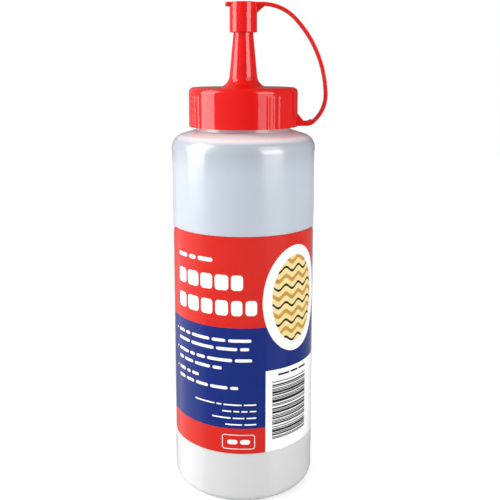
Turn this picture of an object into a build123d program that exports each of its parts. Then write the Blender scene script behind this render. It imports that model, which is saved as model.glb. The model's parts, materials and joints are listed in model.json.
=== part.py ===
from build123d import *
from math import cos, degrees, radians, sin, sqrt, tan
import os

# A 500 ml squeeze bottle for sauce, with a screw closure, a spout, and a small cap that hangs on a
# strap. Millimetres, +Z up, origin at the centre of the base, the strap towards +X, the front at -Y.
# An angle round the bottle is counted from the front towards +X.

# Bottle
body_foot_d = 66.8
body_top_d = 65.2
body_h = 164.2
body_wall = 1.2
heel_r = 4.0
foot_ring_w = 4.0
push_up = 4.0
shoulder_r = 6.2
shoulder_slope = 16.4
neck_wall = 1.6
neck_gap_to_closure = 1.6

# Screw closure
closure_d = 49.2
closure_h = 17.3
closure_wall = 1.8
closure_roof = 2.0
closure_edge_r = 2.2

# Thread on the neck and in the closure, right-handed
thread_pitch = 4.2
thread_turns = 1.5
thread_depth = 1.1
thread_root_w = 2.0
thread_crest_w = 1.0
thread_below_rim = 2.2
thread_sink = 0.4
thread_radial_clearance = 0.3
thread_flank_clearance = 0.25

# Foam sealing ring
seal_t = 1.0
seal_gap = 0.05
seal_side_clearance = 0.5
seal_lap_inside_bore = 1.2

# Spout
spout_h = 34.2
spout_foot_r = 6.72
spout_taper = 5.5
spout_fillet_r = 5.5
spout_wall = 1.6
orifice_r = 1.6
orifice_land = 4.5

# Grip ribs on the closure: clusters at these angles, and again on the far side
rib_clusters = (33.1, -60.6)
ribs_per_cluster = 3
rib_step = 7.2
rib_r = 2.2
rib_proud = 0.22
rib_top_margin = 3.0

# Tip cap
tip_d = 12.2
tip_h = 12.9
tip_roof = 2.5
tip_bore_clearance = 0.2
tip_roof_clearance = 0.3
tip_edge_r = 0.4
pin_clearance = 0.2
pin_l = 3.5
tab_reach = 1.9
tab_w = 5.0
tab_t = 1.7
tab_corner_r = 1.0

# Strap from the tip cap's root to the closure's lug. Its outer side is four arcs, one tangent to the
# next: the first begins with the root's end, and the last is the lug.
strap_w = 4.2
strap_t = 1.55
strap_edge_r = 0.5
strap_turns = (46.0, 42.0, 52.0, 40.0)
strap_top_r = 21.3
root_turn = 3.0
root_l = 2.3
root_gusset_h = 3.0
lug_r = 5.8
lug_t = 2.2
lug_l = 3.9
lug_gusset_l = 2.9
lug_gusset_h = 3.5
gusset_t = 1.8
root_sink = 0.6

# Label
label_t = 0.1
label_glue = 0.06
label_bottom = 24.7
label_h = 100.0
label_w = 85.5
label_corner_r = 3.5

# Worked out from the sizes above
body_foot_r = body_foot_d / 2
body_top_r = body_top_d / 2
closure_r = closure_d / 2
closure_bore_r = closure_r - closure_wall
neck_thread_r = closure_bore_r - thread_radial_clearance
neck_r = neck_thread_r - thread_depth
neck_bore_r = neck_r - neck_wall


def side_r(z):
    """Outer radius of the body's side at a height."""
    return body_foot_r + (body_top_r - body_foot_r) * z / body_h


def slope_z(radius, depth=0):
    """Height of the shoulder's slope at a radius, on its outer face or this far under it."""
    rise = (body_top_r - radius) * tan(radians(shoulder_slope))
    return body_h + rise - depth / cos(radians(shoulder_slope))


neck_foot_z = slope_z(neck_r)
closure_z = neck_foot_z + neck_gap_to_closure
closure_top_z = closure_z + closure_h
roof_z = closure_top_z - closure_roof
seal_z = roof_z - seal_gap - seal_t
rim_z = seal_z - seal_gap
thread_z = rim_z - thread_below_rim - thread_turns * thread_pitch
# Both threads have the same flanks, so at every radius their widths add up to the same length
flank_widths = (thread_root_w + thread_crest_w) / 2 - (
    thread_radial_clearance * (thread_root_w - thread_crest_w) / (2 * thread_depth))
thread_offset = flank_widths + thread_flank_clearance
spout_tip_z = closure_top_z + spout_h
tip_top_z = spout_tip_z + tip_roof_clearance + tip_roof
tip_z = tip_top_z - tip_h
tip_r = tip_d / 2


def polar(radius, angle):
    """The X and Y of a point at this radius and this angle round the bottle."""
    return radius * sin(radians(angle)), -radius * cos(radians(angle))


def spout_r(z):
    """Outer radius of the spout's cone at a height."""
    return spout_foot_r - (z - closure_top_z) * tan(radians(spout_taper))


def rounded(outline, rounds):
    """The outline with its corners at these points rounded to these radii."""
    for point, radius in rounds:
        outline = fillet(outline.vertices().sort_by_distance((*point, 0))[0], radius)
    return outline


def turned(outline):
    """The solid that an outline of radius and height makes when it turns once round Z."""
    return revolve(Plane.XZ * outline, Axis.Z)


def upright(radius, height):
    """A cylinder that stands on z = 0."""
    return Cylinder(radius, height, align=(Align.CENTER, Align.CENTER, Align.MIN))


def slab(outline, width):
    """An outline of X and Z, given a width along Y about the plane of the strap."""
    return extrude(Plane.XZ * outline, width / 2, both=True)


def thread(root_r, crest_r, z):
    """A trapezoid ridge wound up a helix, with its foot sunk a little into what carries it."""
    out = 1 if crest_r > root_r else -1
    flare = thread_sink * (thread_root_w - thread_crest_w) / (2 * thread_depth)
    foot = thread_root_w / 2 + flare
    crest = thread_crest_w / 2
    foot_r = root_r - out * thread_sink
    section = make_face(Polyline(
        (foot_r, z - foot), (crest_r, z - crest), (crest_r, z + crest), (foot_r, z + foot), close=True))
    path = Pos(0, 0, z) * Helix(thread_pitch, thread_pitch * thread_turns, root_r)
    return sweep(Plane.XZ * section, path, is_frenet=True)


def make_bottle():
    foot_in = body_foot_r - heel_r - foot_ring_w
    foot = (body_foot_r, 0)
    shoulder = (body_top_r, body_h)
    inner_foot = (body_foot_r - body_wall, body_wall)
    inner_shoulder = (body_top_r - body_wall, slope_z(body_top_r - body_wall, body_wall))
    walls = Polyline(
        (foot_in, 0), foot, shoulder, (neck_r, neck_foot_z), (neck_r, rim_z), (neck_bore_r, rim_z),
        (neck_bore_r, slope_z(neck_bore_r, body_wall)), inner_shoulder, inner_foot, (foot_in, body_wall))
    under = TangentArc((0, push_up), (foot_in, 0), tangent=(1, 0))
    floor = TangentArc((0, push_up + body_wall), (foot_in, body_wall), tangent=(1, 0))
    axis = Line((0, push_up), (0, push_up + body_wall))
    outline = rounded(make_face([walls, under, floor, axis]), [
        (foot, heel_r),
        (inner_foot, heel_r - body_wall),
        (shoulder, shoulder_r),
        (inner_shoulder, shoulder_r - body_wall),
    ])
    return turned(outline) + thread(neck_r, neck_thread_r, thread_z)


def make_label():
    """A strip wrapped round the front of the body, with rounded corners."""
    label_top = label_bottom + label_h
    middle_r = side_r(label_bottom + label_h / 2)
    half_turn = degrees(label_w / 2 / middle_r)
    inside = [(side_r(z) + label_glue, z) for z in (label_bottom, label_top)]
    outside = [(side_r(z) + label_glue + label_t, z) for z in (label_top, label_bottom)]
    strip = Plane.XZ * make_face(Polyline(*inside, *outside, close=True))
    label = Rot(0, 0, -90 - half_turn) * revolve(strip, Axis.Z, 2 * half_turn)
    # Each corner is what lies outside a circle that touches both edges
    centre_turn = half_turn - degrees(label_corner_r / middle_r)
    square = Pos(label_corner_r, label_corner_r) * Rectangle(2 * label_corner_r, 2 * label_corner_r)
    corner = square - Circle(label_corner_r)
    for side in (-1, 1):
        for z, up in ((label_bottom, -1), (label_top, 1)):
            x, y = polar(middle_r, side * centre_turn)
            face = Plane((x, y, z - up * label_corner_r), x_dir=(-y * side, x * side, 0), z_dir=(x, y, 0))
            cut = corner if up == side else mirror(corner, Plane.XZ)
            label -= extrude(face * cut, label_corner_r, both=True)
    return label


def make_seal():
    inner = neck_bore_r - seal_lap_inside_bore
    outer = closure_bore_r - seal_side_clearance
    return extrude(Pos(0, 0, seal_z) * (Circle(outer) - Circle(inner)), seal_t)


def strap_radii():
    """Radii of the four arcs. The second and third are the ones that make the chain span its two roots."""
    ends = [0]
    for turn in strap_turns:
        ends.append(ends[-1] + radians(turn))
    across = [sin(b) - sin(a) for a, b in zip(ends, ends[1:])]
    down = [cos(a) - cos(b) for a, b in zip(ends, ends[1:])]
    span = closure_r + lug_l - (tip_r + root_l) - strap_top_r * across[0] - lug_r * across[3]
    drop = tip_top_z - closure_z - strap_top_r * down[0] - lug_r * down[3]
    whole = across[1] * down[2] - across[2] * down[1]
    side = (span * down[2] - across[2] * drop) / whole
    low = (across[1] * drop - span * down[1]) / whole
    return strap_top_r, side, low, lug_r


def inward(heading):
    """Direction from the strap's outer side to its inner side, where the outer side has this heading."""
    return Vector(sin(radians(heading)), -cos(radians(heading)))


def strap_links():
    """Start, heading, turn and radius of each arc of the strap's outer side: root, strap (three), lug.

    A heading of 0 is towards +X, and the arcs turn clockwise.
    """
    turns = (root_turn, strap_turns[0] - root_turn, *strap_turns[1:])
    radii = strap_radii()
    start = Vector(tip_r + root_l, tip_top_z)
    heading = 0
    links = []
    for turn, radius in zip(turns, (radii[0], *radii)):
        links.append((start, heading, turn, radius))
        centre = start + inward(heading) * radius
        heading -= turn
        start = centre - inward(heading) * radius
    return links


def band(links, thickness):
    """The outline between these arcs and the same arcs one thickness further in."""
    outer = []
    inner = []
    for start, heading, turn, radius in links:
        along = Vector(cos(radians(heading)), sin(radians(heading)))
        outer.append(JernArc(start, along, radius, -turn))
        inner.append(JernArc(start + inward(heading) * thickness, along, radius - thickness, -turn))
    ends = [Line(outer[0] @ 0, inner[0] @ 0), Line(outer[-1] @ 1, inner[-1] @ 1)]
    return make_face([*outer, *inner, *ends])


root_link, *strap_arcs, lug_link = strap_links()


def make_strap():
    strap = slab(band(strap_arcs, strap_t), strap_w)
    return fillet(strap.edges().filter_by(GeomType.CIRCLE), strap_edge_r)


def make_lug():
    """Plate under the strap's lower end, curved like it, on a gusset against the closure's skirt."""
    inside = closure_r - root_sink
    plate_end = closure_r + lug_l
    plate_top = closure_z + lug_t
    gusset_end = closure_r + lug_gusset_l
    gusset_top = plate_top + lug_gusset_h
    plate = make_face(Polyline(
        (inside, closure_z), (plate_end, closure_z), (plate_end, plate_top), (inside, plate_top), close=True))
    gusset = make_face(Polyline(
        (inside, closure_z), (gusset_end, closure_z), (gusset_end, plate_top), (closure_r, gusset_top),
        (inside, gusset_top), close=True))
    return slab(band([lug_link], lug_t), strap_w) + slab(plate, strap_w) + slab(gusset, gusset_t)


def make_root():
    """The tip cap's arm that the strap grows from, on a gusset against the cap's side."""
    inside = tip_r - root_sink
    arm_end = tip_r + root_l
    arm_under = tip_top_z - strap_t
    arm_middle = tip_top_z - strap_t / 2
    under_start, under_heading, *_ = strap_arcs[0]
    under = under_start + inward(under_heading) * strap_t
    arm = make_face(Polyline(
        (inside, arm_under), (arm_end, arm_under), (arm_end, tip_top_z), (inside, tip_top_z), close=True))
    gusset = make_face(Polyline(
        (inside, arm_middle), (arm_end, arm_middle), (under.X, under.Y), (tip_r, arm_under - root_gusset_h),
        (inside, arm_under - root_gusset_h), close=True))
    return slab(band([root_link], strap_t), strap_w) + slab(arm, strap_w) + slab(gusset, gusset_t)


def make_ribs():
    """Round bars sunk in the skirt, each with a round top, of which this much stands proud in height."""
    top_shows = sqrt(rib_r ** 2 - (rib_r - rib_proud) ** 2)
    straight_h = closure_h - rib_top_margin - top_shows
    rib = upright(rib_r, straight_h) + Pos(0, 0, straight_h) * Sphere(rib_r)
    ribs = []
    for cluster in rib_clusters:
        for half in (0, 180):
            for i in range(ribs_per_cluster):
                angle = cluster + half + (i - (ribs_per_cluster - 1) / 2) * rib_step
                x, y = polar(closure_r + rib_proud - rib_r, angle)
                ribs.append(Pos(x, y, closure_z) * rib)
    return ribs


def make_closure():
    bore_foot_r = spout_foot_r - spout_wall
    land_z = spout_tip_z - orifice_land
    edge = (closure_r, closure_top_z)
    spout_foot = (spout_foot_r, closure_top_z)
    outline = rounded(make_face(Polyline(
        (closure_r, closure_z),
        edge,
        spout_foot,
        (spout_r(spout_tip_z), spout_tip_z),
        (orifice_r, spout_tip_z),
        (orifice_r, land_z),
        (bore_foot_r, roof_z),
        (closure_bore_r, roof_z),
        (closure_bore_r, closure_z),
        close=True)), [(edge, closure_edge_r), (spout_foot, spout_fillet_r)])
    cap = turned(outline)
    for rib in make_ribs():
        cap += rib
    cap += make_lug()
    cap -= Pos(0, 0, closure_z) * upright(closure_bore_r, closure_h - closure_roof)
    return cap + thread(closure_bore_r, neck_r + thread_radial_clearance, thread_z - thread_offset)


def make_tip_cap():
    roof_under = tip_top_z - tip_roof
    pin_r = orifice_r - pin_clearance
    pin_end = roof_under - pin_l
    edge = (tip_r, tip_top_z)
    cap = turned(rounded(make_face(Polyline(
        (0, tip_top_z),
        edge,
        (tip_r, tip_z),
        (spout_r(tip_z) + tip_bore_clearance, tip_z),
        (spout_r(roof_under) + tip_bore_clearance, roof_under),
        (pin_r, roof_under),
        (pin_r, pin_end),
        (0, pin_end),
        close=True)), [(edge, tip_edge_r)]))
    inside = tip_r - root_sink
    tab_end = tip_r + tab_reach
    tab = Pos(0, 0, tip_top_z - tab_t) * extrude(make_face(Polyline(
        (-inside, -tab_w / 2), (-tab_end, -tab_w / 2), (-tab_end, tab_w / 2), (-inside, tab_w / 2),
        close=True)), tab_t)
    far_corners = tab.edges().filter_by(Axis.Z).group_by(Axis.X)[0]
    return cap + fillet(far_corners, tab_corner_r) + make_root()


pieces = {
    "bottle": make_bottle,
    "label": make_label,
    "sealing_ring": make_seal,
    "closure": make_closure,
    "tether_strap": make_strap,
    "tip_cap": make_tip_cap,
}

os.makedirs("parts", exist_ok=True)
for name, make in pieces.items():
    piece = make()
    export_step(piece, f"parts/{name}.step")
    print(name, round(piece.volume, 1), piece.is_valid)
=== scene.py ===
import json
from math import cos, pi, radians, sin

import bpy
import numpy as np
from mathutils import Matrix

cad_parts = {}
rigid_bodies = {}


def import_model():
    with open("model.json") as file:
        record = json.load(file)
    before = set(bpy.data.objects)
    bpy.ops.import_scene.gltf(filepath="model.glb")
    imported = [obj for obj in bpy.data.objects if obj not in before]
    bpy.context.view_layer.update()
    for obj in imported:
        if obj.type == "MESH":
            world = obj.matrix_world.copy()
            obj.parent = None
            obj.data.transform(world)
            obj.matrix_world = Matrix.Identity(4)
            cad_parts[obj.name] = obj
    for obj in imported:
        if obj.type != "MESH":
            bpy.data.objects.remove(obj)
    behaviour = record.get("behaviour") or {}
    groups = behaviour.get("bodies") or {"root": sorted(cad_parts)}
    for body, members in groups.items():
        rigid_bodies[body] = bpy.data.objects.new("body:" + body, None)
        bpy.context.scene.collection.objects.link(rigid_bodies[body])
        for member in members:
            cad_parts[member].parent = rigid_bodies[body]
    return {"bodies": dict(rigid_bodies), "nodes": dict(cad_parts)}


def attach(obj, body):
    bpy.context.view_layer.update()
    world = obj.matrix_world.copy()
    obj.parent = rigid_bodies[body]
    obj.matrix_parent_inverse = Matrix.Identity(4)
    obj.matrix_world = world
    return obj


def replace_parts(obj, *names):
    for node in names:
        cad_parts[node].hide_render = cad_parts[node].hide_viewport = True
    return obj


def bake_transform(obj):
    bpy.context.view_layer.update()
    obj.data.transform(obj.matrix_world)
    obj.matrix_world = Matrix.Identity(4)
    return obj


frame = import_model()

# A squeeze bottle for sauce: a milky bottle with a printed label, and a red screw closure whose spout is
# shut by a small cap on a strap. Sizes are in millimetres and meshes and lamps are in metres. +Z is up, -Y
# is the front, and an angle round the bottle is counted from the front towards +X.

for loose in set(bpy.data.objects) - {*frame["nodes"].values(), *frame["bodies"].values()}:
    bpy.data.objects.remove(loose)
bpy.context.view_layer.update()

MM = 0.001

# The body, as the CAD has it
body_foot_r = 33.4
body_top_r = 32.6
body_h = 164.2

# The label, laid flat: across is the length of arc from its middle, up is the height above the base. The
# film and its layers of ink are together as thick as the CAD's label.
label_glue = 0.06
label_t = 0.1
label_bottom = 24.7
label_top = 124.7
label_half_w = 42.75
label_corner_r = 3.5
ink_t = 0.02
ink_layers = 4
film_t = label_t - ink_layers * ink_t
ground_layer, mark_layer, ripple_layer, rim_layer = range(ink_layers)

# The grounds: a blue band on red, both cut away at the lower right, where the bare film is a white panel
blue_top = 84.0
blue_bottom = 36.9
panel_left = 10.0
panel_top = 63.6

# Two title rows of blocks: the row's lower edge, the blocks' widths and the gap between them
title_rows = ((101.0, (5.6, 6.6, 6.0, 6.2, 5.2), 1.2), (89.6, (5.4, 6.6, 5.8, 5.8, 4.9, 5.0), 1.4))
title_left = -34.5
title_h = 6.8
title_corner_r = 1.5

# Rows of bars: the height of the row's middle, and the bars' lengths
heading_row = (114.0, (6.4, 4.2, 7.6))
heading_bar_h, heading_gap = 1.8, 1.3
text_rows = (
    (78.2, (4.6, 2.9, 9.8, 6.4, 10.2)), (74.3, (8.2, 12.4, 9.6, 4.0)),
    (69.1, (7.4, 2.9, 4.6, 11.8, 7.6)), (65.2, (3.4, 5.8, 8.4, 4.4)),
    (60.0, (5.0, 2.4, 4.0)), (56.1, (4.6, 5.2, 6.6, 8.2, 3.6)))
text_left, text_bar_h, text_gap = -35.2, 1.4, 1.2
dot_heights = (78.2, 69.1, 60.0)
dot_left, dot_h, dot_w = -37.6, 0.9, 0.95
fine_rows = (
    (48.2, (10.4, 2.4, 8.2, 5.6)), (45.1, (4.2, 2.6, 2.8, 3.0)),
    (41.9, (8.8, 5.2, 4.4)), (38.8, (7.6, 5.4)))
fine_right, fine_bar_h, fine_gap = 5.8, 0.65, 0.9
panel_row = (61.0, (6.2, 4.6, 5.4))
panel_row_left, panel_bar_h, panel_gap = 16.0, 0.9, 0.8

# The outlined box with two bars in it
box_left, box_right, box_low, box_high = -9.6, 5.2, 26.9, 33.9
box_corner_r, box_line = 1.2, 0.3
box_row = (30.4, (4.6, 4.4))
box_row_left, box_bar_h, box_gap = -7.2, 2.2, 1.2

# The stripes on the panel: their thicknesses and gaps in modules, where a module is the thinnest one's, and
# how much of a module the ink spreads
stripe_widths = (1, 1, 2, 1, 3, 1, 1, 2, 1, 1, 2, 1, 1, 3, 1, 2, 1, 1, 4, 1, 1, 2, 3, 1, 1, 1, 2, 1)
stripe_gaps = (1, 2, 1, 1, 1, 2, 3, 1, 1, 2, 1, 1, 2, 1, 1, 3, 1, 2, 1, 1, 2, 1, 1, 1, 2, 1, 3)
stripe_left, stripe_right = 13.2, 33.8
stripes_low, stripes_h = 30.5, 27.4
ink_spread = 0.3
stripe_corner_r = 0.02

# The oval plate, its white rim and the ripples on it. A pair is a size across and a size up.
plate_centre = (25.4, 95.0)
plate_radii = (14.8, 22.1)
plate_rim_radii = (16.9, 24.2)
plate_rim_w = 4.4
ripple_radii = (13.8, 21.2)
ripple_reach, ripple_pitch = 18.0, 4.0
ripple_h, ripple_l = 1.1, 7.5
light_ripple_t, dark_ripple_t = 1.9, 1.1

# The strap's outer side: four arcs that turn clockwise by these angles with these radii
closure_r = 24.6
closure_z = 169.096
tip_r = 6.1
tip_top_z = 223.396
strap_turns = (46.0, 42.0, 52.0, 40.0)
strap_top_r = 21.3
strap_lug_r = 5.8
strap_w = 4.2
strap_t = 1.55
strap_edge_r = 0.5
root_l = 2.3
root_turn = 3.0
lug_l = 3.9

# What a Math or Vector Math node works out
larger = {"operation": "MAXIMUM"}
product = {"operation": "MULTIPLY"}
difference = {"operation": "SUBTRACT"}
dot_product = {"operation": "DOT_PRODUCT"}

# A Mix node's kind and sockets when it mixes colours: the second colour's share, both colours, the result
of_colours = {"data_type": "RGBA"}
share_in, first_in, second_in, mixed_out = 0, 6, 7, 2


def colour(code):
    """An sRGB hex colour as linear red, green and blue, with an alpha of 1."""
    channels = [int(code[i:i + 2], 16) / 255 for i in (1, 3, 5)]
    return (*[c / 12.92 if c <= 0.04045 else ((c + 0.055) / 1.055) ** 2.4 for c in channels], 1.0)


def add_node(tree, kind, settings=None, inputs=None):
    """One more node: settings are its own properties, inputs are values or another node's output."""
    made = tree.nodes.new(kind)
    for name, value in (settings or {}).items():
        setattr(made, name, value)
    for name, value in (inputs or {}).items():
        if isinstance(value, bpy.types.NodeSocket):
            tree.links.new(value, made.inputs[name])
        else:
            made.inputs[name].default_value = value
    return made


def new_material(name):
    """An empty material and its node tree."""
    material = bpy.data.materials.new(name)
    material.use_nodes = True
    material.node_tree.nodes.clear()
    return material, material.node_tree


def moulded_red_polyethylene():
    """Injection-moulded polyethylene, dyed through: glossy, a little cloudy in its dye, and finely
    rippled where it met the mould. Polyethylene has an IOR of about 1.5."""
    material, tree = new_material("moulded_red_polyethylene")
    place = add_node(tree, "ShaderNodeTexCoord").outputs["Object"]
    dye = add_node(tree, "ShaderNodeTexNoise", inputs={"Vector": place, "Scale": 1 / (14 * MM), "Detail": 3.0})
    tone = add_node(tree, "ShaderNodeMix", of_colours, {
        share_in: dye.outputs["Fac"], first_in: colour("#D20E0C"), second_in: colour("#DE1310")})
    gloss = add_node(tree, "ShaderNodeMapRange", inputs={
        "Value": dye.outputs["Fac"], "To Min": 0.05, "To Max": 0.1})
    skin = add_node(tree, "ShaderNodeTexNoise", inputs={"Vector": place, "Scale": 1 / (1.1 * MM), "Detail": 2.0})
    ripple = add_node(tree, "ShaderNodeBump", inputs={
        "Height": skin.outputs["Fac"], "Strength": 0.12, "Distance": 0.02 * MM})
    shader = add_node(tree, "ShaderNodeBsdfPrincipled", inputs={
        "Base Color": tone.outputs[mixed_out], "Roughness": gloss.outputs["Result"],
        "Normal": ripple.outputs["Normal"], "IOR": 1.5, "Specular IOR Level": 0.45,
        "Subsurface Weight": 0.12, "Subsurface Scale": 1.2 * MM})
    add_node(tree, "ShaderNodeOutputMaterial", inputs={"Surface": shader.outputs["BSDF"]})
    return material


def natural_polyethylene():
    """Blow-moulded natural polyethylene: milky and glossy, because the wall scatters what comes through it
    under a smooth skin. The wall is lighter and less blue towards the foot. Painted shade darkens it where
    the shoulder rounds over. On the shoulder's slope, painted light and a painted reflection of the red
    closure make it whiter and a little rosy, and the neck carries a deeper painted red glow and shade from
    the closure round it. The side is duller than the shoulder and the foot, because hands rub it."""
    material, tree = new_material("blown_natural_polyethylene")
    place = add_node(tree, "ShaderNodeTexCoord").outputs["Object"]
    height = add_node(tree, "ShaderNodeSeparateXYZ", inputs={"Vector": place}).outputs["Z"]
    # From each lower height to its upper one, in millimetres, the wall turns to that row's colour. Below the
    # first row is the foot's lighter tone. The first row is the side's own colour. The second is painted shade
    # where the shoulder rounds over. The third is painted light and a painted reflection of the red closure on
    # the slope. The last is a painted red glow and shade on the neck.
    tone = colour("#D8D8D9")
    for low, high, code in (
            (20, 130, "#BFC7D1"), (150, 161, "#B4BBC5"), (163.4, 165.2, "#FDF2F6"), (167.2, 167.8, "#CDB0B5")):
        share = add_node(tree, "ShaderNodeMapRange", inputs={
            "Value": height, "From Min": low * MM, "From Max": high * MM})
        tone = add_node(tree, "ShaderNodeMix", of_colours, {
            share_in: share.outputs["Result"], first_in: tone, second_in: colour(code)}).outputs[mixed_out]
    # The roughness stays above 0.28: the render's denoiser takes a smoother surface another way, and draws
    # an edge where the two meet, at about 0.27
    haze = add_node(tree, "ShaderNodeTexNoise", inputs={"Vector": place, "Scale": 1 / (26 * MM), "Detail": 0.0})
    gloss = add_node(tree, "ShaderNodeMapRange", inputs={
        "Value": haze.outputs["Fac"], "To Min": 0.29, "To Max": 0.38})
    flow = add_node(tree, "ShaderNodeBump", inputs={
        "Height": haze.outputs["Fac"], "Strength": 0.25, "Distance": 0.15 * MM})
    # Hands rub the side this far up and down from a middle height, and the wear fades out over 5 mm
    rubbed_middle, rubbed_reach, rubbed_fade = 89 * MM, 64 * MM, 5 * MM
    above = add_node(tree, "ShaderNodeMath", difference, {0: height, 1: rubbed_middle})
    away = add_node(tree, "ShaderNodeMath", {"operation": "ABSOLUTE"}, {0: above.outputs["Value"]})
    unworn = add_node(tree, "ShaderNodeMapRange", inputs={
        "Value": away.outputs["Value"], "From Min": rubbed_reach, "From Max": rubbed_reach + rubbed_fade,
        "To Min": 0.35, "To Max": 1.0})
    shader = add_node(tree, "ShaderNodeBsdfPrincipled", inputs={
        "Base Color": tone, "Roughness": gloss.outputs["Result"], "Normal": flow.outputs["Normal"],
        "IOR": 1.5, "Subsurface Weight": 1.0, "Subsurface Scale": 2 * MM,
        "Subsurface Radius": (1.0, 1.0, 1.0), "Coat Weight": unworn.outputs["Result"],
        "Coat Roughness": 0.1, "Coat IOR": 1.6})
    add_node(tree, "ShaderNodeOutputMaterial", inputs={"Surface": shader.outputs["BSDF"]})
    return material


def polyethylene_foam():
    """Foamed polyethylene sheet, punched: matt and white, with closed cells about 0.3 mm wide, drawn at
    0.5 mm so that they show."""
    material, tree = new_material("punched_polyethylene_foam")
    place = add_node(tree, "ShaderNodeTexCoord").outputs["Object"]
    cells = add_node(tree, "ShaderNodeTexVoronoi", inputs={"Vector": place, "Scale": 1 / (0.5 * MM)})
    tone = add_node(tree, "ShaderNodeMix", of_colours, {
        share_in: cells.outputs["Distance"], first_in: colour("#F4F4F2"), second_in: colour("#DCDCD8")})
    pits = add_node(tree, "ShaderNodeBump", inputs={
        "Height": cells.outputs["Distance"], "Strength": 0.5, "Distance": 0.1 * MM})
    shader = add_node(tree, "ShaderNodeBsdfPrincipled", inputs={
        "Base Color": tone.outputs[mixed_out], "Roughness": 0.8, "Normal": pits.outputs["Normal"], "IOR": 1.5})
    add_node(tree, "ShaderNodeOutputMaterial", inputs={"Surface": shader.outputs["BSDF"]})
    return material


def printed_film(name, light, dark):
    """Varnished ink on polypropylene film: even, glossy, and very slightly mottled where the ink lies
    thinner, at about 3 mm. Polypropylene has an IOR of about 1.49."""
    material, tree = new_material(name)
    place = add_node(tree, "ShaderNodeTexCoord").outputs["Object"]
    mottle = add_node(tree, "ShaderNodeTexNoise", inputs={"Vector": place, "Scale": 1 / (3 * MM), "Detail": 4.0})
    tone = add_node(tree, "ShaderNodeMix", of_colours, {
        share_in: mottle.outputs["Fac"], first_in: colour(dark), second_in: colour(light)})
    gloss = add_node(tree, "ShaderNodeMapRange", inputs={
        "Value": mottle.outputs["Fac"], "To Min": 0.1, "To Max": 0.16})
    shader = add_node(tree, "ShaderNodeBsdfPrincipled", inputs={
        "Base Color": tone.outputs[mixed_out], "Roughness": gloss.outputs["Result"], "IOR": 1.49,
        "Specular IOR Level": 0.25})
    add_node(tree, "ShaderNodeOutputMaterial", inputs={"Surface": shader.outputs["BSDF"]})
    return material


def add_mesh(name, shells, material):
    """One object from closed shells, each an array of points in millimetres and a list of faces. It is
    smooth but for edges sharper than 35 degrees."""
    points = []
    faces = []
    for shell_points, shell_faces in shells:
        faces += [[i + len(points) for i in face] for face in shell_faces]
        points += (shell_points.reshape(-1, 3) * MM).tolist()
    mesh = bpy.data.meshes.new(name)
    mesh.from_pydata(points, [], faces)
    mesh.polygons.foreach_set("use_smooth", np.ones(len(mesh.polygons), bool))
    mesh.set_sharp_from_angle(angle=radians(35))
    mesh.materials.append(material)
    piece = bpy.data.objects.new(name, mesh)
    bpy.context.scene.collection.objects.link(piece)
    return piece


def grid_faces(index, ring=False):
    """The four-cornered faces between a grid's points. In a ring the last column meets the first."""
    if ring:
        index = np.hstack([index, index[:, :1]])
    return np.stack([index[:-1, :-1], index[1:, :-1], index[1:, 1:], index[:-1, 1:]], -1).reshape(-1, 4)


def sheet_shell(outside, inside, ring=False):
    """A closed shell between two grids of the same size: the outer one, the inner one turned over, and a
    rim of faces between their edges. A ring has two edges: its first row, and its last one backwards."""
    index = np.arange(outside.shape[0] * outside.shape[1]).reshape(outside.shape[:2])
    if ring:
        edges = [index[0], index[-1, ::-1]]
    else:
        edges = [np.concatenate([index[0, :-1], index[:-1, -1], index[-1, :0:-1], index[:0:-1, 0]])]
    edge = np.concatenate(edges)
    after = np.concatenate([np.roll(loop, -1) for loop in edges])
    under = index.size
    rim = np.stack([edge, after, after + under, edge + under], -1)
    top = grid_faces(index, ring)
    points = np.concatenate([outside.reshape(-1, 3), inside.reshape(-1, 3)])
    return points, np.concatenate([top, top[:, ::-1] + under, rim]).tolist()


def side_r(z):
    """Radius of the body's side: it changes evenly with height, from the foot's to the top's."""
    return body_foot_r + (body_top_r - body_foot_r) * z / body_h


def on_body(across, up, out):
    """A flat point of the label, wrapped: the angle is the length across over the radius at the label's
    middle, and the radius is the side's at that height plus the distance out."""
    angle = across / side_r((label_bottom + label_top) / 2)
    radius = side_r(up) + out
    return np.stack([radius * np.sin(angle), -radius * np.cos(angle), up], -1)


def ink_shell(across, up, layer, ring=False):
    """A grid of flat points as a closed shell one ink thickness deep, on that many layers of ink."""
    base = label_glue + film_t + layer * ink_t
    return sheet_shell(on_body(across, up, base + ink_t), on_body(across, up, base), ring)


def between(across, low, high, columns):
    """A flat grid between two edges: the heights at each length across go evenly from low to high."""
    low = np.broadcast_to(low, across.shape)[:, None]
    high = np.broadcast_to(high, across.shape)[:, None]
    return np.repeat(across[:, None], columns, 1), low + (high - low) * np.linspace(0, 1, columns)


def rounded_edges(left, right, low, high, corner, corner_steps, steps):
    """A rounded rectangle's lengths across, and its lower and upper edge at each. Within a corner's radius
    r of an end, at a distance d from that end, an edge draws in by r minus the square root of r squared
    minus (r - d) squared."""
    ends = corner * (1 - np.cos(np.linspace(0, pi / 2, corner_steps)))
    middle = np.linspace(left + corner, right - corner, steps)[1:-1]
    across = np.concatenate([left + ends, middle, right - ends[::-1]])
    near = np.clip(corner - np.minimum(across - left, right - across), 0, corner)
    draw_in = corner - np.sqrt(corner ** 2 - near ** 2)
    return across, low + draw_in, high - draw_in


def block(left, right, low, high, corner):
    """A rounded rectangle of ink, with a step across it about every millimetre."""
    steps = max(2, int(right - left))
    edges = rounded_edges(left, right, low, high, corner, corner_steps=7, steps=steps)
    return ink_shell(*between(*edges, 2), mark_layer)


def bars(left, height, row, gap):
    """A row of bars one gap apart. Their corners are a hair under half their height, so the ends are
    round."""
    up, lengths = row
    made = []
    for length in lengths:
        made.append(block(left, left + length, up - height / 2, up + height / 2, height / 2.01))
        left += length + gap
    return made


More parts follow.
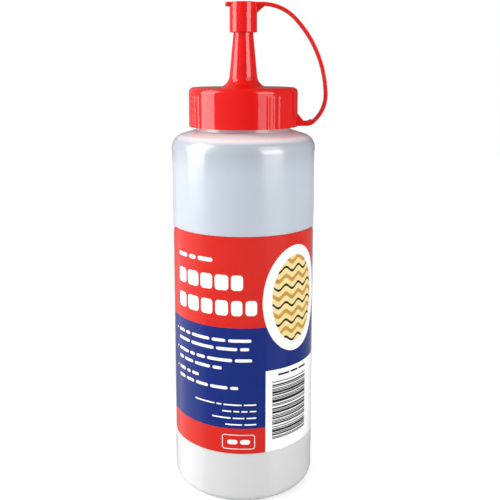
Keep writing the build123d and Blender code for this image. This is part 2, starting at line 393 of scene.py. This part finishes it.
def oval(centre, radii):
    """An oval of ink. The half height at each length across is the upper radius times the sine of the turn
    whose cosine gives that length. Its two ends are cut off blunt, where the band round it hides them."""
    blunt = 0.1
    turn = np.linspace(pi - blunt, blunt, 61)
    half = radii[1] * np.sin(turn)
    across = centre[0] + radii[0] * np.cos(turn)
    return ink_shell(*between(across, centre[1] - half, centre[1] + half, 12), mark_layer)


def oval_band(centre, radii, width):
    """A band of ink along an oval's edge: a point is the centre plus the cosine and sine of its turn times
    the radii, which shrink by its way across the band."""
    turn = np.linspace(0, 2 * pi, 96, endpoint=False)
    inward = np.linspace(width, 0, 12)[:, None]
    across = centre[0] + (radii[0] - inward) * np.cos(turn)
    up = centre[1] + (radii[1] - inward) * np.sin(turn)
    return ink_shell(across, up, rim_layer, ring=True)


def ripple(up, thick):
    """A wavy line of ink across the plate, as long as the oval is wide at that height: its middle goes up
    and down with the sine of the length across."""
    half = ripple_radii[0] * np.sqrt(1 - ((up - plate_centre[1]) / ripple_radii[1]) ** 2)
    across = np.linspace(plate_centre[0] - half, plate_centre[0] + half, 60)
    wave = up + ripple_h * np.sin((across - plate_centre[0]) * 2 * pi / ripple_l)
    return ink_shell(*between(across, wave - thick / 2, wave + thick / 2, 2), ripple_layer)


def rounded_section(width, depth, radius):
    """A closed loop round a rounded rectangle: for each corner, its centre plus the radius times the
    cosine and sine of a quarter turn."""
    quarter = np.linspace(0, pi / 2, 6)
    loop = []
    for x, y, start in ((1, 1, 0), (-1, 1, pi / 2), (-1, -1, pi), (1, -1, 3 * pi / 2)):
        middle = np.array([x * (width / 2 - radius), y * (depth / 2 - radius)])
        turn = start + quarter
        loop.append(middle + radius * np.stack([np.cos(turn), np.sin(turn)], -1))
    return np.concatenate(loop)


def outline(left, right, low, high, corner, line):
    """A rounded rectangle drawn as a line: the band between its loop and one that lies a line's width
    inside, with each run cut into short pieces so that it follows the body."""
    loops = np.stack([
        rounded_section(right - left - 2 * line, high - low - 2 * line, corner - line),
        rounded_section(right - left, high - low, corner)])
    loops = (loops + [(left + right) / 2, (low + high) / 2])[:, :, None]
    share = np.linspace(0, 1, 12, endpoint=False)[:, None]
    runs = loops + (np.roll(loops, -1, axis=1) - loops) * share
    runs = runs.reshape(2, -1, 2)
    return ink_shell(runs[..., 0], runs[..., 1], mark_layer, ring=True)


def make_label():
    """The film with its grounds, marks, plate and ripples, all riding on the bottle."""
    film = printed_film("white_film", "#FFFFFF", "#F6F6F6")
    red = printed_film("red_ink", "#D1261D", "#CB2118")
    blue = printed_film("blue_ink", "#0C2778", "#092370")
    white = printed_film("white_ink", "#FFFFFF", "#F3F4F6")
    cream = printed_film("cream_ink", "#F3DFA2", "#E9CE86")
    tan = printed_film("tan_ink", "#C99A4E", "#B58640")
    black = printed_film("black_ink", "#1E1B19", "#141211")

    across, bottom, top = rounded_edges(
        -label_half_w, label_half_w, label_bottom, label_top, label_corner_r, corner_steps=9, steps=81)
    wide, up = between(across, bottom, top, 41)
    base = sheet_shell(on_body(wide, up, label_glue + film_t), on_body(wide, up, label_glue))
    pieces = [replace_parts(add_mesh("label_film", [base], film), "label")]

    beside = across <= panel_left
    short = np.append(across[beside], panel_left)
    short_bottom = np.append(bottom[beside], label_bottom)
    pieces.append(add_mesh("label_red", [
        ink_shell(*between(across, blue_top, top, 21), ground_layer),
        ink_shell(*between(short, short_bottom, blue_bottom, 5), ground_layer),
    ], red))
    pieces.append(add_mesh("label_blue", [
        ink_shell(*between(across, panel_top, blue_top, 9), ground_layer),
        ink_shell(*between(short, blue_bottom, panel_top, 11), ground_layer),
    ], blue))

    marks = []
    for low, widths, gap in title_rows:
        left = title_left
        for width in widths:
            marks.append(block(left, left + width, low, low + title_h, title_corner_r))
            left += width + gap
    marks += bars(title_left, heading_bar_h, heading_row, heading_gap)
    for row in text_rows:
        marks += bars(text_left, text_bar_h, row, text_gap)
    for up in dot_heights:
        marks += bars(dot_left, dot_h, (up, (dot_w,)), 0)
    for row in fine_rows:
        row_w = sum(row[1]) + fine_gap * (len(row[1]) - 1)
        marks += bars(fine_right - row_w, fine_bar_h, row, fine_gap)
    marks += bars(box_row_left, box_bar_h, box_row, box_gap)
    pieces.append(add_mesh("label_white_marks", marks, white))
    pieces.append(add_mesh("label_box_lines", [
        outline(box_left, box_right, box_low, box_high, box_corner_r, box_line)], white))

    module = stripes_h / (sum(stripe_widths) + sum(stripe_gaps))
    stripes = []
    low = stripes_low
    for width, gap in zip(stripe_widths, (*stripe_gaps, 0)):
        high = low + (width + ink_spread) * module
        stripes.append(block(stripe_left, stripe_right, low, high, stripe_corner_r))
        low += (width + gap) * module
    stripes += bars(panel_row_left, panel_bar_h, panel_row, panel_gap)
    pieces.append(add_mesh("label_bars", stripes, black))

    pieces.append(add_mesh("label_plate", [oval(plate_centre, plate_radii)], cream))
    pieces.append(add_mesh("label_plate_rim", [oval_band(plate_centre, plate_rim_radii, plate_rim_w)], white))
    rows = plate_centre[1] + np.arange(-ripple_reach, ripple_reach + 1, ripple_pitch)
    pieces.append(add_mesh("label_light_ripples", [ripple(up, light_ripple_t) for up in rows[1::2]], tan))
    pieces.append(add_mesh("label_dark_ripples", [ripple(up, dark_ripple_t) for up in rows[::2]], black))
    for piece in pieces:
        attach(piece, "bottle_body")


def strap_path():
    """Points along the strap's outer side with its heading there. Each arc turns clockwise from the last
    one's end, and two of the radii are the ones that make the chain reach the lug. A point on an arc is
    its start plus the radius times how far the heading's sine and cosine have changed."""
    ends = np.radians(np.concatenate([[0], np.cumsum(strap_turns)]))
    across = np.diff(np.sin(ends))
    down = -np.diff(np.cos(ends))
    span = closure_r + lug_l - (tip_r + root_l) - strap_top_r * across[0] - strap_lug_r * across[3]
    drop = tip_top_z - closure_z - strap_top_r * down[0] - strap_lug_r * down[3]
    side_arc_r, low_arc_r = np.linalg.solve([across[1:3], down[1:3]], [span, drop])
    start = np.array([tip_r + root_l, tip_top_z])
    points = []
    headings = []
    for first, last, radius in zip(ends[:3], ends[1:4], (strap_top_r, side_arc_r, low_arc_r)):
        turn = np.linspace(first, last, 40)[1:]
        if not points:
            turn = np.append(radians(root_turn), turn[turn >= radians(root_turn)])
        points.append(start + radius * np.stack([np.sin(turn) - sin(first), np.cos(turn) - cos(first)], -1))
        headings.append(turn)
        start = points[-1][-1]
    return np.concatenate(points), np.concatenate(headings)


def make_strap(red):
    """The rounded section carried along the arcs: a point is the path's point, plus its share across the
    strap along Y, plus its share of the depth towards the inner side."""
    points, headings = strap_path()
    section = rounded_section(strap_w, strap_t, strap_edge_r)
    inward = np.stack([-np.sin(headings), -np.cos(headings)], -1)
    middle = points + inward * strap_t / 2
    place = middle[:, None, :] + inward[:, None, :] * section[None, :, 1:2]
    across = np.broadcast_to(section[:, 0], place.shape[:2])
    grid = np.stack([place[..., 0], across, place[..., 1]], -1)
    index = np.arange(across.size).reshape(across.shape)
    caps = [index[0].tolist(), index[-1, ::-1].tolist()]
    strap = add_mesh("strap", [(grid, grid_faces(index, ring=True).tolist() + caps)], red)
    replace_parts(strap, "tether_strap")
    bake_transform(strap)


def dress(node, material):
    """A CAD node in this material."""
    for slot in frame["nodes"][node].material_slots:
        slot.material = material


def white_paper():
    """White paper. It glows for the eye until it is as white as the surround, less so near the bottle, where
    its shadow lies. In what mirrors it, it glows a little all round, and more in two patches that lie
    towards the softboxes: there, the bearing from a point on the bottle's side is near the patch's own."""
    material, tree = new_material("white_paper")
    path = add_node(tree, "ShaderNodeLightPath").outputs
    seen = add_node(tree, "ShaderNodeMath", larger, {
        0: path["Is Camera Ray"], 1: path["Is Transmission Ray"]}).outputs["Value"]
    place = add_node(tree, "ShaderNodeTexCoord").outputs["Object"]
    away = add_node(tree, "ShaderNodeVectorMath", {"operation": "LENGTH"}, {0: place})
    glow = add_node(tree, "ShaderNodeMapRange", inputs={
        "Value": away.outputs["Value"], "From Min": 0.15, "From Max": 0.8, "To Min": 0.4, "To Max": 1.0})
    seen_glow = add_node(tree, "ShaderNodeMath", product, {0: seen, 1: glow.outputs["Result"]})
    # A patch: the way from the bottle's side to its axis, its bearing, how near to that bearing it begins
    # and is full, as cosines, and how bright it is
    level = 0.1
    for from_side, bearing, begins, full, bright in (
            ((0.019, 0.027, 0), (-0.985, 0.174, 0), 0.76, 0.88, 0.75),
            ((-0.014, 0.030, 0), (0.822, -0.569, 0), 0.93, 0.95, 0.5)):
        moved = add_node(tree, "ShaderNodeVectorMath", {"operation": "ADD"}, {0: place, 1: from_side})
        way = add_node(tree, "ShaderNodeVectorMath", {"operation": "NORMALIZE"}, {0: moved.outputs["Vector"]})
        near = add_node(tree, "ShaderNodeVectorMath", dot_product, {0: way.outputs["Vector"], 1: bearing})
        patch = add_node(tree, "ShaderNodeMapRange", inputs={
            "Value": near.outputs["Value"], "From Min": begins, "From Max": full,
            "To Min": 0.0, "To Max": bright})
        level = add_node(tree, "ShaderNodeMath", larger, {0: level, 1: patch.outputs["Result"]}).outputs["Value"]
    mirrored_glow = add_node(tree, "ShaderNodeMath", product, {0: path["Is Glossy Ray"], 1: level})
    strength = add_node(tree, "ShaderNodeMath", larger, {
        0: seen_glow.outputs["Value"], 1: mirrored_glow.outputs["Value"]})
    light = add_node(tree, "ShaderNodeEmission", inputs={"Strength": strength.outputs["Value"]})
    # How much light the paper itself returns: to the eye, as a light on the bottle, and in a mirror
    to_eye, to_bottle, to_mirror = 0.79, 0.62, 0.4
    eye_tone = add_node(tree, "ShaderNodeMath", product, {0: seen, 1: to_eye})
    bottle_tone = add_node(tree, "ShaderNodeMath", product, {0: path["Is Diffuse Ray"], 1: to_bottle})
    unseen_tone = add_node(tree, "ShaderNodeMath", larger, {0: bottle_tone.outputs["Value"], 1: to_mirror})
    tone = add_node(tree, "ShaderNodeMath", larger, {
        0: eye_tone.outputs["Value"], 1: unseen_tone.outputs["Value"]})
    paper = add_node(tree, "ShaderNodeBsdfDiffuse", inputs={"Color": tone.outputs["Value"]})
    both = add_node(tree, "ShaderNodeAddShader", inputs={0: paper.outputs["BSDF"], 1: light.outputs["Emission"]})
    add_node(tree, "ShaderNodeOutputMaterial", inputs={"Surface": both.outputs["Shader"]})
    return material


def make_floor():
    """A round sheet of paper, so wide that it is as white as the surround well before its edge."""
    floor_r = 1400
    turn = np.linspace(0, 2 * pi, 96, endpoint=False)
    edge = floor_r * np.stack([np.cos(turn), np.sin(turn), 0 * turn], -1)
    floor = add_mesh("floor", [(edge, [list(range(len(edge)))])], white_paper())


def make_surround():
    """White to the eye. As a light it is soft and grey, brightest at the left, dim behind the bottle's
    right, and with a bright ceiling that nothing mirrors."""
    world = bpy.data.worlds.new("surround")
    bpy.context.scene.world = world
    world.use_nodes = True
    tree = world.node_tree
    tree.nodes.clear()
    way = add_node(tree, "ShaderNodeTexCoord").outputs["Generated"]
    parts = add_node(tree, "ShaderNodeSeparateXYZ", inputs={"Vector": way})
    left = add_node(tree, "ShaderNodeMapRange", inputs={
        "Value": parts.outputs["X"], "From Min": -1.0, "From Max": 0.3, "To Min": 0.75, "To Max": 0.2})
    right = add_node(tree, "ShaderNodeMapRange", inputs={
        "Value": parts.outputs["X"], "From Min": 0.3, "From Max": 1.0, "To Min": 0.2, "To Max": 0.7})
    sides = add_node(tree, "ShaderNodeMath", larger, {0: left.outputs["Result"], 1: right.outputs["Result"]})
    behind_right, overhead = (0.707, 0.707, 0), (0, 0.45, 0.893)
    behind = add_node(tree, "ShaderNodeVectorMath", dot_product, {0: way, 1: behind_right})
    dimming = add_node(tree, "ShaderNodeMapRange", inputs={
        "Value": behind.outputs["Value"], "From Min": 0.3, "From Max": 1.0, "To Min": 1.0, "To Max": 0.4})
    around = add_node(tree, "ShaderNodeMath", product, {0: sides.outputs["Value"], 1: dimming.outputs["Result"]})
    above = add_node(tree, "ShaderNodeVectorMath", dot_product, {0: way, 1: overhead})
    ceiling = add_node(tree, "ShaderNodeMapRange", inputs={
        "Value": above.outputs["Value"], "From Min": 0.8, "From Max": 0.86, "To Min": 0.0, "To Max": 1.5})
    path = add_node(tree, "ShaderNodeLightPath").outputs
    unmirrored = add_node(tree, "ShaderNodeMath", difference, {0: 1.0, 1: path["Is Glossy Ray"]})
    overhead_light = add_node(tree, "ShaderNodeMath", product, {
        0: ceiling.outputs["Result"], 1: unmirrored.outputs["Value"]})
    level = add_node(tree, "ShaderNodeMath", larger, {
        0: around.outputs["Value"], 1: overhead_light.outputs["Value"]})
    seen = add_node(tree, "ShaderNodeMath", larger, {
        0: path["Is Camera Ray"], 1: path["Is Transmission Ray"]})
    soft = add_node(tree, "ShaderNodeBackground", inputs={"Strength": level.outputs["Value"]})
    white = add_node(tree, "ShaderNodeBackground", inputs={"Color": colour("#FFFFFF"), "Strength": 1.0})
    both = add_node(tree, "ShaderNodeMixShader", inputs={
        0: seen.outputs["Value"], 1: soft.outputs["Background"], 2: white.outputs["Background"]})
    add_node(tree, "ShaderNodeOutputWorld", inputs={"Surface": both.outputs["Shader"]})


def add_softbox(name, angle, distance, height, lean, width, tall, power):
    """A soft lamp at this angle round the bottle, facing its axis, with its top leaning in. Lengths are in
    metres, angles in degrees and power in watts."""
    lamp = bpy.data.lights.new(name, "AREA")
    lamp.shape = "RECTANGLE"
    lamp.size = width
    lamp.size_y = tall
    lamp.energy = power
    softbox = bpy.data.objects.new(name, lamp)
    softbox.location = (distance * sin(radians(angle)), -distance * cos(radians(angle)), height)
    softbox.rotation_euler = (pi / 2 - radians(lean), 0, radians(angle))
    softbox.visible_camera = False
    bpy.context.scene.collection.objects.link(softbox)


def make_camera():
    """The camera stands in front of the bottle, a little above its closure, and looks down."""
    tilt = 11.20893
    lens = bpy.data.cameras.new("camera")
    lens.sensor_width = 36
    lens.lens = 51.533
    lens.shift_x = 0.0134
    lens.shift_y = -0.08
    camera = bpy.data.objects.new("camera", lens)
    camera.location = (0, -0.327602, 0.194819)
    camera.rotation_euler = (radians(90 - tilt), 0, 0)
    bpy.context.scene.collection.objects.link(camera)
    bpy.context.scene.camera = camera


make_camera()
make_floor()
make_surround()
# Each softbox is brightest a little below its middle, where a second, shorter lamp stands 10 mm behind it
add_softbox("left_softbox", -79, 0.85, 0.42, 20, 0.60, 1.2, 11.2)
add_softbox("right_softbox", 47, 0.85, 0.40, 14, 0.54, 1.1, 5.2)
add_softbox("left_softbox_middle", -79, 0.86, 0.33, 20, 0.60, 0.25, 0.9)
add_softbox("right_softbox_middle", 47, 0.86, 0.33, 14, 0.54, 0.25, 1.45)
bpy.context.scene.view_settings.view_transform = "Standard"

red_plastic = moulded_red_polyethylene()
dress("bottle", natural_polyethylene())
dress("sealing_ring", polyethylene_foam())
dress("closure", red_plastic)
dress("tip_cap", red_plastic)
make_label()
make_strap(red_plastic)
